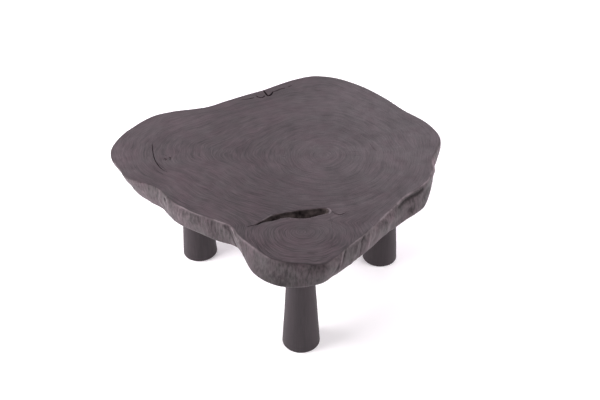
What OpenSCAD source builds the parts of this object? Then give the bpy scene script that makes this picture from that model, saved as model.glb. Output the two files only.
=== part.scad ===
/* [Slab] */
// Length of the slab, from the left lobe to the right one
slab_length = 1015; // [880:1:1150]
// Width of the slab, from the front lobe to the back one
slab_width = 995; // [860:1:1120]
// Thickness of the slab
slab_thickness = 78; // [60:1:110]
// Rounding along the rim of the top
top_round = 8; // [3:0.5:14]
// Rounding along the rim of the underside
under_round = 12; // [4:0.5:16]
// How far the wall swells out past its two rims
wall_swell = 4; // [0:0.5:10]

/* [Cracks] */
// Length of the open crack in the front lobe
open_crack_length = 204; // [150:1:240]
// Reach of the open crack from front to back, with its slanting tail
open_crack_reach = 71; // [50:1:80]
// Depth of the open crack
open_crack_depth = 54; // [20:1:56]
// Distance of the open crack's middle behind the front leg's axis
open_crack_setback = 94; // [86:1:130]
// Distance of the open crack's middle to the left of the front leg's axis
open_crack_shift = 23; // [0:1:50]
// Widest opening of the thin check in the left lobe
left_check_width = 4; // [3:0.5:9]
// Depth of the thin check in the left lobe
left_check_depth = 22; // [5:1:40]
// Widest opening of the check near the back rim
back_check_width = 7; // [4:0.5:14]
// Depth of the check near the back rim
back_check_depth = 16; // [5:1:40]

/* [Legs] */
// Length of a leg without its felt pad
leg_length = 309; // [250:1:400]
// Diameter of a leg at its foot
foot_diameter = 110; // [100:1:130]
// Diameter of a leg where it meets the slab
leg_top_diameter = 72; // [66:1:96]
// Rounding of the foot's lower edge
foot_round = 2; // [1:0.5:4]
// Distance of the front leg's axis from the rim
front_leg_inset = 120; // [100:1:130]
// Distance of the left leg's axis from the rim
left_leg_inset = 249; // [190:1:270]
// Distance of the right leg's axis from the rim
right_leg_inset = 148; // [115:1:180]
// Distance of the back leg's axis from the rim
back_leg_inset = 128; // [100:1:150]

/* [Felt pads] */
// Thickness of a felt pad
pad_thickness = 3; // [2:0.5:6]
// Distance of the pad's edge inside the edge of the foot
pad_inset = 6; // [5:0.5:20]

/* [Mounting plates] */
// Distance of the plate's edge inside the edge of the leg's top
plate_inset = 4; // [2:0.5:6]
// Thickness of the plate
plate_thickness = 3; // [2.5:0.5:5]
// Gap between the plate's edge and its recess
plate_gap = 0.25; // [0.1:0.05:0.5]
// Distance of the screws from the plate's edge
screw_edge = 9; // [7:0.5:10]
// Number of screws in a plate
screw_count = 4; // [3:1:5]

/* [Bolts and screws] */
// Diameter of the hanger bolt
bolt_diameter = 10; // [8:0.5:11]
// Length of the hanger bolt inside the leg
bolt_in_leg = 55; // [35:1:80]
// Height of the bolt's tip above the nut
bolt_above_nut = 3; // [1:0.5:6]
// Diameter of the nut on the plate, across its corners
nut_diameter = 19; // [16:0.5:21]
// Height of the nut
nut_height = 12; // [8:0.5:16]
// Gap round the nut and over the bolt in the slab
nut_gap = 0.8; // [0.5:0.1:1.5]
// Diameter of a plate screw's shank
screw_diameter = 4.5; // [3.5:0.25:5]
// Diameter of a plate screw's head
screw_head = 8.6; // [7.6:0.2:9.6]
// Length of a plate screw
screw_length = 30; // [20:1:40]
// Gap round bolts and screws in their holes
thread_gap = 0.05; // [0.03:0.01:0.15]

/* [Hidden] */
LEG_SIDES = ["front", "left", "right", "back"];
LEG_PIECES = ["leg", "felt_pad", "hanger_bolt", "mounting_plate", "plate_nut", "plate_screws"];

$fn = 64;
// Overshoot of a cut past the face that it opens
cut = 1;

// The rim as [direction in degrees, distance from the middle, undercut]. The undercut is how far
// the rim of the underside lies inside the rim of the top. The drawn rim and its undercut are then
// fitted to the slab's length and width.
RIM = [
  [4, 487, 12], [12, 513, 20], [22, 507, 22], [33, 485, 16], [44, 490, 18], [56, 504, 20],
  [67, 514, 22], [76, 506, 20], [83, 474, 14], [89, 441, 10], [97, 405, 8], [106, 386, 10],
  [118, 374, 14], [127, 374, 16], [134, 394, 14], [142, 435, 18], [150, 473, 28], [161, 495, 40],
  [172, 507, 50], [179, 498, 60], [186, 468, 54], [192, 449, 36], [198, 403, 10], [204, 372, 2],
  [211, 366, 2], [219, 364, 5], [231, 349, 4], [242, 342, -3], [250, 349, 5], [255, 380, 18],
  [262, 418, -23], [269, 464, -19], [276, 487, -12], [284, 507, 10], [289, 489, 11], [296, 458, 3],
  [307, 434, 4], [319, 421, 5], [330, 422, -8], [340, 451, -9], [351, 466, 3], [358, 467, 3]
];
// Outline points for each drawn point of the rim
RIM_STEPS = 3;

// The open crack's outline, as shares of half its length and half its reach
OPEN_CRACK = [
  [-1, -1], [-0.85, -0.75], [-0.69, -0.35], [-0.45, 0.4], [-0.15, 0.65], [0.05, 0.8],
  [0.45, 0.9], [0.85, 1], [1, 0.7], [0.98, 0.35], [0.8, 0.15], [0.65, -0.05], [0.45, -0.22],
  [0.1, -0.28], [-0.1, -0.2], [-0.35, -0.45], [-0.7, -0.78], [-0.85, -0.92]
];
// Share of its outline that the open crack keeps at its bottom
OPEN_CRACK_TAPER = [0.92, 0.5];

// Checks as [x, y, share of the widest opening] along their middle line, drawn with the rim
LEFT_CHECK = [
  [-384, 78, 0.1], [-381, 56, 0.5], [-377, 34, 0.8], [-370, 12, 1], [-363, -10, 0.9],
  [-353, -30, 0.7], [-342, -48, 0.4], [-332, -61, 0.3], [-318, -76, 0.1]
];
BACK_CHECK = [
  [-122, 338, 0.1], [-105, 339, 0.3], [-86, 344, 0.5], [-73, 350, 0.35], [-59, 349, 0.5],
  [-48, 356, 0.4], [-39, 357, 0.6], [-31, 361, 1], [-23, 371, 0.8], [-15, 380, 0.5],
  [-3, 386, 0.3], [10, 397, 0.3], [20, 406, 0.1]
];
// A chip that runs from the back check towards the rim
BACK_CHIP = [[-50, 395, 0.2], [-44, 386, 0.6], [-38, 373, 0.8], [-32, 361, 0.8]];
CRACK_STEPS = 3;

// Angles of the legs' directions from the slab's middle, in the order of LEG_SIDES
LEG_ANGLES = [280.4, 174, 359, 76.5];
LEG_INSETS = [front_leg_inset, left_leg_inset, right_leg_inset, back_leg_inset];

// Catmull-Rom spline: the point at share t of the way from b to c
function spline(a, b, c, d, t) =
  (2 * b + (c - a) * t + (2 * a - 5 * b + 4 * c - d) * t * t + (3 * b - a - 3 * c + d) * t * t * t) / 2;

// Closed spline through all points
function closed_curve(points, steps) = let (n = len(points)) [
  for (i = [0 : n - 1], k = [0 : steps - 1])
    spline(points[(i + n - 1) % n], points[i], points[(i + 1) % n], points[(i + 2) % n], k / steps)
];

// Open spline through all points
function open_curve(points, steps) = let (n = len(points)) concat([
  for (i = [0 : n - 2], k = [0 : steps - 1])
    spline(points[max(i - 1, 0)], points[i], points[i + 1], points[min(i + 2, n - 1)], k / steps)
], [points[n - 1]]);

function polar(angle, radius) = [radius * cos(angle), radius * sin(angle)];
function column(points, k) = [for (p = points) p[k]];
function cross_z(a, b) = a[0] * b[1] - a[1] * b[0];

// The rim as drawn, and its fit to the slab's length and width
DRAWN_RIM = closed_curve([for (p = RIM) concat(polar(p[0], p[1]), [p[2]])], RIM_STEPS);
DRAWN_LOW = [min(column(DRAWN_RIM, 0)), min(column(DRAWN_RIM, 1))];
DRAWN_HIGH = [max(column(DRAWN_RIM, 0)), max(column(DRAWN_RIM, 1))];
DRAWN_MIDDLE = (DRAWN_HIGH + DRAWN_LOW) / 2;
FIT = [slab_length / (DRAWN_HIGH[0] - DRAWN_LOW[0]), slab_width / (DRAWN_HIGH[1] - DRAWN_LOW[1])];
function fitted(p) = [(p[0] - DRAWN_MIDDLE[0]) * FIT[0], (p[1] - DRAWN_MIDDLE[1]) * FIT[1], p[2]];
OUTLINE = [for (p = DRAWN_RIM) let (f = fitted(p)) [f[0], f[1], f[2] * (FIT[0] + FIT[1]) / 2]];
RIM_COUNT = len(OUTLINE);
function next(i) = (i + 1) % RIM_COUNT;

// Distance from the middle to the rim in one direction, from the side of the outline that it crosses
function rim_radius(angle) = let (ray = polar(angle, 1)) [
  for (i = [0 : RIM_COUNT - 1])
    let (
      p = OUTLINE[i],
      q = OUTLINE[next(i)],
      before = cross_z(ray, p),
      after = cross_z(ray, q),
      crossing = p + (q - p) * before / (before - after)
    )
      if (before <= 0 && after > 0) crossing[0] * ray[0] + crossing[1] * ray[1]
][0];

LEG_PLACES = [for (i = [0 : len(LEG_SIDES) - 1])
  polar(LEG_ANGLES[i], rim_radius(LEG_ANGLES[i]) - LEG_INSETS[i])];

// Heights above the floor
underside = pad_thickness + leg_length;
table_top = underside + slab_thickness;
recess_top = underside + plate_thickness;
nut_top = recess_top + nut_height;
bolt_top = nut_top + bolt_above_nut;
bolt_bottom = underside - bolt_in_leg;

// Diameters that follow from the leg
pad_diameter = foot_diameter - 2 * pad_inset;
plate_diameter = leg_top_diameter - 2 * plate_inset;
screw_circle = plate_diameter - 2 * screw_edge;

// Points on a quarter circle, in degrees, for the two rounded rims of the slab
ROUND_ANGLES = [0, 30, 60, 90];
// Heights of the rows between the rounded rims, as shares of the slab's thickness
WALL_SHARES = [0.3, 0.5, 0.7];
// The wall is widest at the last of these rows
WIDEST = WALL_SHARES[len(WALL_SHARES) - 1];
// The undercut fades towards the widest row by this power
UNDERCUT_POWER = 1.5;

// The slab's wall as rows of [height above the underside, inset by the rounding]
WALL = concat(
  [for (a = ROUND_ANGLES) [under_round * (1 - cos(a)), under_round * (1 - sin(a))]],
  [for (s = WALL_SHARES) [slab_thickness * s, 0]],
  [for (a = ROUND_ANGLES) [slab_thickness - top_round * (1 - sin(a)), top_round * (1 - cos(a))]]
);
function row_inset(row, undercut) = let (
  share = row[0] / slab_thickness,
  below = max(WIDEST - share, 0) / WIDEST,
  above = max(share - WIDEST, 0) / (1 - WIDEST)
) row[1] + wall_swell * pow(below + above, 2) + undercut * pow(below, UNDERCUT_POWER);
function wall_point(p, row) = let (
  flat = [p[0], p[1]],
  inward = flat * row_inset(row, p[2]) / norm(flat)
) concat(flat - inward, [underside + row[0]]);

SLAB_POINTS = concat(
  [for (row = WALL, p = OUTLINE) wall_point(p, row)],
  [[0, 0, underside], [0, 0, table_top]]
);
UNDER_CENTRE = len(WALL) * RIM_COUNT;
TOP_CENTRE = UNDER_CENTRE + 1;
TOP_START = (len(WALL) - 1) * RIM_COUNT;
BANDS = [for (r = [0 : len(WALL) - 2]) r * RIM_COUNT];
SLAB_FACES = concat(
  [for (low = BANDS, i = [0 : RIM_COUNT - 1]) [low + i, low + RIM_COUNT + i, low + RIM_COUNT + next(i)]],
  [for (low = BANDS, i = [0 : RIM_COUNT - 1]) [low + i, low + RIM_COUNT + next(i), low + next(i)]],
  [for (i = [0 : RIM_COUNT - 1]) [UNDER_CENTRE, i, next(i)]],
  [for (i = [0 : RIM_COUNT - 1]) [TOP_CENTRE, TOP_START + next(i), TOP_START + i]]
);

// Outline of a check: along its middle line on one side and back on the other
function side_point(line, i, side) = let (
  n = len(line),
  along = line[min(i + 1, n - 1)] - line[max(i - 1, 0)],
  length = norm([along[0], along[1]])
) [line[i][0] - side * line[i][2] * along[1] / length, line[i][1] + side * line[i][2] * along[0] / length];
function check_outline(drawn, width) = let (
  line = [for (p = open_curve(drawn, CRACK_STEPS)) let (f = fitted(p)) [f[0], f[1], p[2] * width / 2]],
  n = len(line)
) concat(
  [for (i = [0 : n - 1]) side_point(line, i, -1)],
  [for (i = [n - 1 : -1 : 0]) side_point(line, i, 1)]
);

module check_cut(drawn, width, depth) {
  translate([0, 0, table_top - depth])
    linear_extrude(depth + cut) polygon(check_outline(drawn, width));
}

module open_crack_cut() {
  half = [open_crack_length / 2, open_crack_reach / 2];
  outline = [for (p = closed_curve(OPEN_CRACK, CRACK_STEPS)) [p[0] * half[0], p[1] * half[1]]];
  middle = LEG_PLACES[0] + [-open_crack_shift, open_crack_setback];
  translate([middle[0], middle[1], table_top])
    mirror([0, 0, 1]) linear_extrude(open_crack_depth, scale = OPEN_CRACK_TAPER, slices = 1, segments = 1)
      polygon(outline);
  translate([middle[0], middle[1], table_top - cut / 2])
    linear_extrude(cut) polygon(outline);
}

// Puts its children round the circle of a plate's screws
module on_screw_circle() {
  for (i = [0 : screw_count - 1])
    rotate([0, 0, 360 / screw_count * (i + 0.5)]) translate([screw_circle / 2, 0, 0]) children();
}

// A countersunk screw seen from its head up, wider all round by a gap. A cut's cone starts lower
// by the overshoot.
module screw_shape(gap, overshoot) {
  shank = screw_diameter / 2 + gap;
  head = screw_head / 2 + gap;
  tip = underside + screw_length;
  rotate_extrude() polygon([
    [0, underside - overshoot], [head + overshoot, underside - overshoot],
    [shank, underside + head - shank], [shank, tip - screw_diameter + gap], [0, tip + gap]
  ]);
}

// The hanger bolt, wider all round by a gap
module bolt_shape(gap) {
  radius = bolt_diameter / 2 + gap;
  rotate_extrude() polygon([
    [0, bolt_bottom], [radius * 0.4, bolt_bottom], [radius, bolt_bottom + bolt_diameter],
    [radius, bolt_top], [0, bolt_top]
  ]);
}

// What one leg's fittings take out of the slab
module fitting_cut() {
  translate([0, 0, underside - cut])
    cylinder(h = plate_thickness + cut, d = plate_diameter + 2 * plate_gap);
  translate([0, 0, underside])
    cylinder(h = bolt_top - underside + nut_gap, d = nut_diameter + 2 * nut_gap);
  on_screw_circle() screw_shape(thread_gap, cut);
}

module slab() {
  color([0.25, 0.22, 0.23])
    difference() {
      polyhedron(points = SLAB_POINTS, faces = SLAB_FACES, convexity = 6);
      open_crack_cut();
      check_cut(LEFT_CHECK, left_check_width, left_check_depth);
      check_cut(BACK_CHECK, back_check_width, back_check_depth);
      check_cut(BACK_CHIP, back_check_width, back_check_depth);
      for (place = LEG_PLACES) translate(place) fitting_cut();
    }
}

module leg() {
  edge = foot_diameter / 2 - foot_round;
  arc = [for (a = ROUND_ANGLES) [edge + foot_round * sin(a), pad_thickness + foot_round * (1 - cos(a))]];
  color([0.21, 0.18, 0.19])
    difference() {
      rotate_extrude() polygon(concat(
        [[0, pad_thickness]], arc, [[leg_top_diameter / 2, underside], [0, underside]]
      ));
      bolt_shape(thread_gap);
    }
}

module felt_pad() {
  color([0.16, 0.15, 0.15]) cylinder(h = pad_thickness, d = pad_diameter);
}

module hanger_bolt() {
  color("silver") bolt_shape(0);
}

module mounting_plate() {
  color("silver")
    difference() {
      translate([0, 0, underside]) cylinder(h = plate_thickness, d = plate_diameter);
      bolt_shape(thread_gap);
      on_screw_circle() screw_shape(thread_gap, cut);
    }
}

module plate_nut() {
  color("gray")
    difference() {
      translate([0, 0, recess_top]) cylinder(h = nut_height, d = nut_diameter, $fn = 6);
      bolt_shape(thread_gap);
    }
}

module plate_screws() {
  color("gray") on_screw_circle() screw_shape(0, 0);
}

slab();
for (i = [0 : len(LEG_SIDES) - 1]) {
  side = LEG_SIDES[i];
  place = LEG_PLACES[i];
  translate(place) leg();
  translate(place) felt_pad();
  translate(place) hanger_bolt();
  translate(place) mounting_plate();
  translate(place) plate_nut();
  translate(place) plate_screws();
}
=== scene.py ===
"""A low table: a slab cut across a tree with its live edge, on four turned legs."""
import math

import bpy
import numpy as np
from mathutils import Color, Matrix, Vector, geometry, noise


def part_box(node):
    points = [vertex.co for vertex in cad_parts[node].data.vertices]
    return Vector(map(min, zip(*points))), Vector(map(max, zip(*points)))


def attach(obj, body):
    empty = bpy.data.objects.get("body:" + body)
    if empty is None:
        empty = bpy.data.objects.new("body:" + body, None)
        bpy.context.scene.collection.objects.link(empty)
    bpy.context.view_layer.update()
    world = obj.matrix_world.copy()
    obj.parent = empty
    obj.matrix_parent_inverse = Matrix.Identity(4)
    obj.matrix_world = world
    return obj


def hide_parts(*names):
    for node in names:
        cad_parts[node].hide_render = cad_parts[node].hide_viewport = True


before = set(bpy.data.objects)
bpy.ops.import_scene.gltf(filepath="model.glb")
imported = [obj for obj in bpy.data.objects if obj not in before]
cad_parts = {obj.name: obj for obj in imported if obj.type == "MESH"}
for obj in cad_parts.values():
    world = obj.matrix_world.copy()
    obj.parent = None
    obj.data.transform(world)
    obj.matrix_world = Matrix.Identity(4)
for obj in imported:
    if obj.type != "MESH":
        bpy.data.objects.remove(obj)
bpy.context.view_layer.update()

# All shapes are drawn in millimetres, in the frame of the CAD model
MM = 0.001

# The rim as direction in degrees, distance from the middle, undercut of the underside
RIM = [
    (4, 487, 12), (12, 513, 20), (22, 507, 22), (33, 485, 16), (44, 490, 18), (56, 504, 20),
    (67, 514, 22), (76, 506, 20), (83, 474, 14), (89, 441, 10), (97, 405, 8), (106, 386, 10),
    (118, 374, 14), (127, 374, 16), (134, 394, 14), (142, 435, 18), (150, 473, 28), (161, 495, 40),
    (172, 507, 50), (179, 498, 60), (186, 468, 54), (192, 449, 36), (198, 403, 10), (204, 372, 2),
    (211, 366, 2), (219, 364, 5), (231, 349, 4), (242, 342, -3), (250, 349, 5), (255, 380, 18),
    (262, 418, -23), (269, 464, -19), (276, 487, -12), (284, 507, 10), (289, 489, 11), (296, 458, 3),
    (307, 434, 4), (319, 421, 5), (330, 422, -8), (340, 451, -9), (351, 466, 3), (358, 467, 3),
]
RIM_STEPS = 30

PAD_THICKNESS = 3
UNDERSIDE = 312
TOP = 390
THICKNESS = TOP - UNDERSIDE

# The wall: rounding of its foot, swell, power of its undercut, rows of points in a rounding and between two
UNDER_ROUND = 12
WALL_SWELL = 4
UNDERCUT_POWER = 1.5
ROUNDING_ROWS = 7
WALL_ROWS = 26
# Shares of the height between which the upper wall starts to lean
LEAN_SPAN = (0.6, 1.05)
# The top's surface starts at this share of the rim's rounding
TOP_START = 0.3

# The open crack's outline, the left end first, its depth and what its floor keeps of the outline
OPEN_CRACK = [
    (-56, -321), (-49, -315), (-38, -305), (-29, -298), (-19, -288), (-10, -281), (3, -274), (24, -268),
    (50, -262), (62, -257), (82, -256), (105, -251), (130, -248), (144, -250), (149, -260), (145, -270),
    (125, -277), (110, -284), (90, -291), (65, -292), (50, -290), (37, -288), (17, -291), (5, -298),
    (-10, -303), (-24, -306), (-36, -310), (-47, -319),
]
CRACK_MIDDLE = np.array([50, -283])
CRACK_DEPTH = 54
CRACK_TAPER = np.array([0.92, 0.5])
CRACK_STEPS = 12
CRACK_LIP = 1.5
CRACK_LIP_ROWS = 5
CRACK_WALL_ROWS = 16
CRACK_FIRST_ROW = 0.06
# The lip is made pale by this share, as wear and painted highlight, and the crack's dark colour, painted
# shade, starts at this share of its rounding
CRACK_LIP_WEAR_AND_HIGHLIGHT = 0.6
CRACK_PAINTED_DARK_START = 0.3
# The crack's wall is even at its left tail up to the first x and rough from the second x on, with lumps
# given as (width, seed, width against height)
CRACK_ROUGH_SPAN = (-50, -5)
CRACK_LUMPS = (6, 8, 0.25)
# Its wood is this pale, and painted lighter by so much at the right end where light falls in, rising between
# these two x
CRACK_PALE = 1.1
CRACK_RIGHT_END_PAINTED_LIGHT = 0.6
CRACK_PAINTED_LIGHT_SPAN = (80, 145)
# Below the lip it is darker by this share, which fades between these shares of the depth
CRACK_SHADE = 0.45
CRACK_SHADE_SPAN = (0.05, 0.3)

# Checks, hairlines and pits of the top as (points [x, y, share of the width], half width, depth, darkness),
# the darkness below 0 for a pale line of wear and painted highlight along the crack's lip
TOP_MARKS = [
    ([(-384, 80, 0.4), (-382, 65, 0.8), (-378, 42, 1), (-372, 15, 1), (-364, -10, 0.9), (-350, -38, 0.8),
      (-336, -58, 0.6)], 1.3, 4.5, 0.8),
    ([(-336, -58, 1), (-322, -70, 0.7)], 1.4, 0.6, 0.45),
    ([(-366, -38, 0.6), (-352, -62, 1), (-334, -80, 0.6)], 1.5, 0.5, 0.3),
    ([(-356, -20, 0.5), (-344, -38, 0.8), (-326, -58, 0.5)], 1.3, 0.4, 0.25),
    ([(-342, 22, 1), (-335, 15, 1)], 3, 0.6, 0.3),
    ([(-337, 1, 1), (-332, -5, 1)], 3, 1.4, 0.5),
    ([(-322, 7, 1), (-321, -7, 1)], 3, 2, 0.7),
    ([(-122, 338, 0.4), (-101, 343, 0.7), (-86, 349, 1), (-80, 352, 0.3)], 2.6, 3, 0.7),
    ([(-75, 363, 0.5), (-70, 359, 0.9), (-64, 353, 1), (-53, 352, 1), (-45, 363, 0.7)], 2.6, 4, 0.8),
    ([(-52, 401, 0.5), (-49, 394, 0.7), (-41, 376, 0.9), (-34, 363, 1), (-25, 370, 1), (-20, 386, 0.6)],
     3.4, 8, 1),
    ([(-20, 387, 0.8), (-5, 396, 1), (5, 405, 0.8), (21, 411, 0.5)], 2.4, 3, 0.6),
    ([(33, 419, 0.8), (44, 428, 0.5)], 2, 1, 0.4),
    ([(-59, -322, 1), (-75, -327, 0.5)], 1.5, 1.5, 0.5),
    ([(-60, -323, 0.5), (-49, -317, 1), (-36, -308, 1), (-25, -303, 0.8)], 3.6, 0.5, 1),
    ([(-34, -299, 0.8), (-26, -292, 1), (-17, -283, 1), (-9, -277, 0.6)], 3, 0.2, -1),
    ([(146, -247, 0.6), (152, -253, 1), (154, -262, 1), (151, -271, 0.7)], 3, 0.2, -0.9),
    ([(152, -290, 0.6), (156, -350, 1), (152, -420, 0.7)], 1.2, 0.4, 0.3),
    ([(158, -263, 0.6), (168, -273, 1), (181, -278, 1), (196, -269, 0.5)], 1.3, 1, 0.4),
    ([(84, -405, 1), (90, -405, 1)], 4, 0.3, 0.25),
    ([(88, -441, 0.8), (104, -443, 0.8)], 5, 0.4, 0.35),
    ([(20, 5, 1), (26, 5, 1)], 3, 0.4, 0.3),
    ([(7, -27, 0.7), (18, -38, 1), (33, -47, 0.7)], 2, 0.4, 0.3),
    ([(233, 7, 0.7), (253, 7, 0.7)], 2, 0.2, 0.2),
    ([(220, 30, 0.7), (253, 29, 0.7)], 2, 0.2, 0.15),
    ([(287, 67, 0.6), (302, 30, 0.6)], 2, 0.5, 0.4),
]
# Rows of points beside a mark and past its ends, in half widths
MARK_ROWS = (-2.2, -1, -0.55, 0, 0.55, 1, 2.2)
MARK_ENDS = (0.6, 1.1)
MARK_STEPS = 10
# A mark is fully dark from this share of its depth on
MARK_DARK_FROM = 0.6

# Folds and hollows of the wall as (points [direction, share of the height], half width, depth)
WALL_MARKS = [
    ([(209.8, 0.83), (210.3, 0.78)], 4, 3),
    ([(205.9, 0.85), (204.9, 0.6), (205.6, 0.4), (208.2, 0.35)], 6, -1.6),
    ([(211, 0.98), (214, 0.8), (213.3, 0.5)], 7, -1.8),
    ([(246.9, 0.93), (247.1, 0.84)], 3.5, 1.5),
    ([(248.2, 0.92), (250.6, 0.6), (252.4, 0.25)], 5.5, 2.5),
    ([(250.4, 0.97), (252.9, 0.86), (255.2, 0.78), (256.7, 0.6), (257.2, 0.3)], 5, -4.5),
    ([(288, 0.2), (290.5, 0.6)], 6, 2),
    ([(290.6, 0.3), (291.4, 0.7), (292.2, 0.94)], 4.5, -2.5),
    ([(291.8, 0.4), (292.9, 0.79), (294.2, 1)], 3.5, 2.5),
    ([(297, 0.1), (298.5, 0.5), (299.5, 0.8)], 7, -2),
    ([(303.2, 0.94), (301.7, 0.83), (301.3, 0.4), (301, 0.1)], 3.5, 2.6),
    ([(305.8, 0.8), (305, 0.3)], 6, -2),
    ([(310, 0.75), (309, 0.45)], 8, 2),
    ([(317, 0.85), (318, 0.2)], 9, -2),
    ([(326, 0.86), (334.2, 0.88), (340.8, 0.86)], 3.5, 2.5),
    ([(332.6, 0.4), (333.2, 0.34)], 7, 4),
    ([(323, 0.1), (334, 0.1)], 12, -3),
    ([(341, 0.64), (351.5, 0.64)], 15, 4.5),
    ([(355, 0.76), (359, 0.76)], 12, -5),
    ([(282, 0.1), (289, 0.1)], 12, 2.5),
    ([(189, 0.6), (194.5, 0.5)], 14, 4),
]
# Painted shade in the wall's hollows and painted highlight on its ridges as (points [direction, share of the
# height], half width, darkness), below 0 if pale
WALL_PAINTED_SHADE_AND_HIGHLIGHT = [
    ([(209.8, 0.83), (210.3, 0.78)], 4, 0.6),
    ([(205.9, 0.85), (204.9, 0.6), (205.6, 0.4), (208.2, 0.35)], 4, -0.3),
    ([(211, 0.98), (214, 0.8), (213.3, 0.5)], 5, -0.3),
    ([(246.9, 0.93), (247.1, 0.84)], 4, 0.35),
    ([(248.1, 0.94), (250.4, 0.62), (252, 0.18)], 4.5, 0.3),
    ([(250.2, 0.96), (252.7, 0.84), (255.2, 0.82), (256.7, 0.62), (257, 0.4)], 3.6, -0.8),
    ([(255.8, 0.96), (261, 0.97), (265, 0.97), (268.7, 0.98)], 2.6, -0.6),
    ([(291.4, 0.71), (292.2, 0.94)], 3.5, -0.45),
    ([(292.9, 0.79), (294.2, 0.98)], 3, 0.4),
    ([(303.2, 0.94), (301.7, 0.83), (301.3, 0.4)], 3.5, 0.4),
    ([(306.4, 0.94), (304.4, 0.61)], 2.5, 0.25),
    ([(309.5, 0.92), (307.1, 0.62)], 2.5, 0.25),
    ([(326.5, 0.87), (330.8, 0.88), (334.2, 0.88), (340.8, 0.86)], 5.5, 0.6),
    ([(332.9, 0.38), (333.4, 0.33)], 6, 0.45),
]
# How much darker a hollow of the wall is for each millimetre of its depth, down to the deepest
RELIEF_SHADE = 0.08
RELIEF_SHADE_DEEPEST = 2.5

# Flutes of the wall as (depth, width, seed, width against height)
FLUTES = [(1.3, 55, 1, 0.35), (0.5, 21, 2, 0.35), (0.3, 8, 3, 0.2)]
# Short upright flutes as (width, seed, width against height), the shares of the wall's height between
# which they grow in, and their depth by direction
SHORT_FLUTE_LUMPS = (7, 4, 0.3)
SHORT_FLUTE_SPAN = (0.25, 0.5)
SHORT_FLUTES = [
    (0, 0.3), (195, 0.2), (205, 0.3), (212, 0.6), (218, 1), (242, 1), (248, 0.4), (296, 0.4), (303, 0.9),
    (322, 0.9), (330, 0.4), (360, 0.3),
]
# The wall's relief fades below and above these shares of the height, but keeps a share of its depth
RELIEF_FOOT = 0.12
RELIEF_RIM = 0.9
FLUTES_KEPT = 0.25
FOLDS_KEPT = 0.4

# Rounding of the top's rim by direction, and how far the upper wall leans in besides
TOP_ROUNDING = [
    (0, 4), (60, 5), (120, 4), (150, 2.5), (188, 2), (196, 3), (205, 3.5), (262, 3.5), (270, 4),
    (284, 4.5), (292, 3.5), (330, 4), (345, 3), (360, 4),
]
UPPER_LEAN = [
    (0, 1), (6, 0), (10, -2), (25, -2), (60, 0), (80, -1), (142, -1), (150, 1), (158, 1), (168, -1),
    (176, 1), (188, 1), (193, -1), (196, 1), (200, 1), (204, -1), (208, 1), (213, 1), (218, 4), (223, 4),
    (229, 0), (238, 0), (246, 0), (250, 1), (254, 1), (257, 1), (262, 1), (267, 2), (271, 3), (275, 2),
    (279, 5), (286, 5), (290, 2), (295, 1), (303, 1), (311, 5), (318, 8), (327, 6), (334, 10), (340, 9),
    (345, 1), (351, 1), (356, 2), (360, 1),
]
# The share of its height at which the wall is widest, by direction
WIDEST = [(0, 0.7), (150, 0.7), (162, 0.97), (195, 0.97), (204, 0.7), (360, 0.7)]
# How far the arris is made pale by direction, as wear and painted highlight, and how dark the top's rim is
# beside it, as painted shade
ARRIS_WEAR_AND_HIGHLIGHT = [
    (0, 0.3), (186, 0), (212, 0), (218, 1.2), (246, 1.2), (250, 0.2), (255, 0.9), (268, 0.7), (272, 0.1),
    (288, 0.1), (296, 1), (306, 1), (318, 1.7), (347, 1.7), (353, 0.5), (360, 0.3),
]
ARRIS_PAINTED_SHADE = [
    (0, 0.1), (205, 0.1), (212, 0.7), (232, 0.7), (238, 0.1), (251, 0.4), (256, 0.4), (262, 0.15),
    (268, 0.3), (272, 0.7), (285, 0.7), (289, 0.45), (296, 0.3), (304, 0.4), (310, 0.1), (360, 0.1),
]
# Place and half width of these two lines, as shares of the rim's rounding
ARRIS_LIGHT_LINE = (0.45, 0.4)
ARRIS_DARK_LINE = (1, 0.3)
# Painted light and shade of the wall by direction, against its mean, with a painted sheen at the right end
WALL_PAINTED_LIGHT = [
    (0, 1.7), (5, 1.4), (9, 1.1), (185, 1.05), (191, 1.5), (195, 1.45), (199, 1.15), (204, 1.1), (211, 0.97),
    (215, 0.92), (221, 1.2), (226, 1.2), (231, 1), (240, 0.97), (246, 1.1), (252, 1.05), (257, 0.98),
    (261, 0.8), (266, 0.75), (271, 0.86), (276, 1.05), (286, 1), (291, 1.15), (297, 1), (301, 0.9),
    (305, 1.2), (311, 1.25), (316, 1.08), (321, 1.12), (326, 0.92), (335, 0.92), (341, 1), (348, 1),
    (352, 1.5), (355, 1.9), (360, 1.7),
]

# Growth rings: the trunk's pith, the heart of the front lobe, and the numbers of the last round ring,
# of the ring half way out and of the last ring. A ring's number is its radius on a round trunk
PITH = np.array([142, 12])
FRONT_HEART = (72, -352)
ROUND_RING = 110
HALF_WAY_RING = 256
LAST_RING = 400
# Shares of the last ring: the rings have the rim's softened form from the first one on, and its bends
# come in from the second one on
RIM_LIKE = 0.95
RIM_BENDS = 0.85
# The ring half way out, as direction and distance from the pith
HALF_WAY = [
    (-166, 352), (-152, 300), (-123, 258), (-100, 244), (-76, 240), (-51, 240), (-27, 238), (10, 242),
    (26, 248), (41, 246), (65, 257), (78, 278), (99, 278), (119, 294), (129, 303), (149, 340),
    (159, 372), (168, 412), (176, 421), (184, 412),
]
HALF_WAY_STEPS = 12
# The rim as seen from the pith: count of directions, and how many of them are softened together
PITH_DIRECTIONS = 720
SOFTENED = 41
# A point's ring is found in steps, each of which keeps a share of the last guess
RING_GUESSES = 40
GUESS_KEPT = 0.6
# The front lobe's rings: widths to the right, back, left and front, and the number of the first ring
FRONT_RINGS_RIGHT_BACK = (1 / 75, 1 / 38, 0)
FRONT_RINGS_LEFT_FRONT = (-1 / 62, -1 / 68, 0)
FRONT_RING_STEP = 55
FRONT_FIRST_RING = 222
FRONT_SQUARENESS = 2.4
RINGS_BLEND = 8

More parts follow.
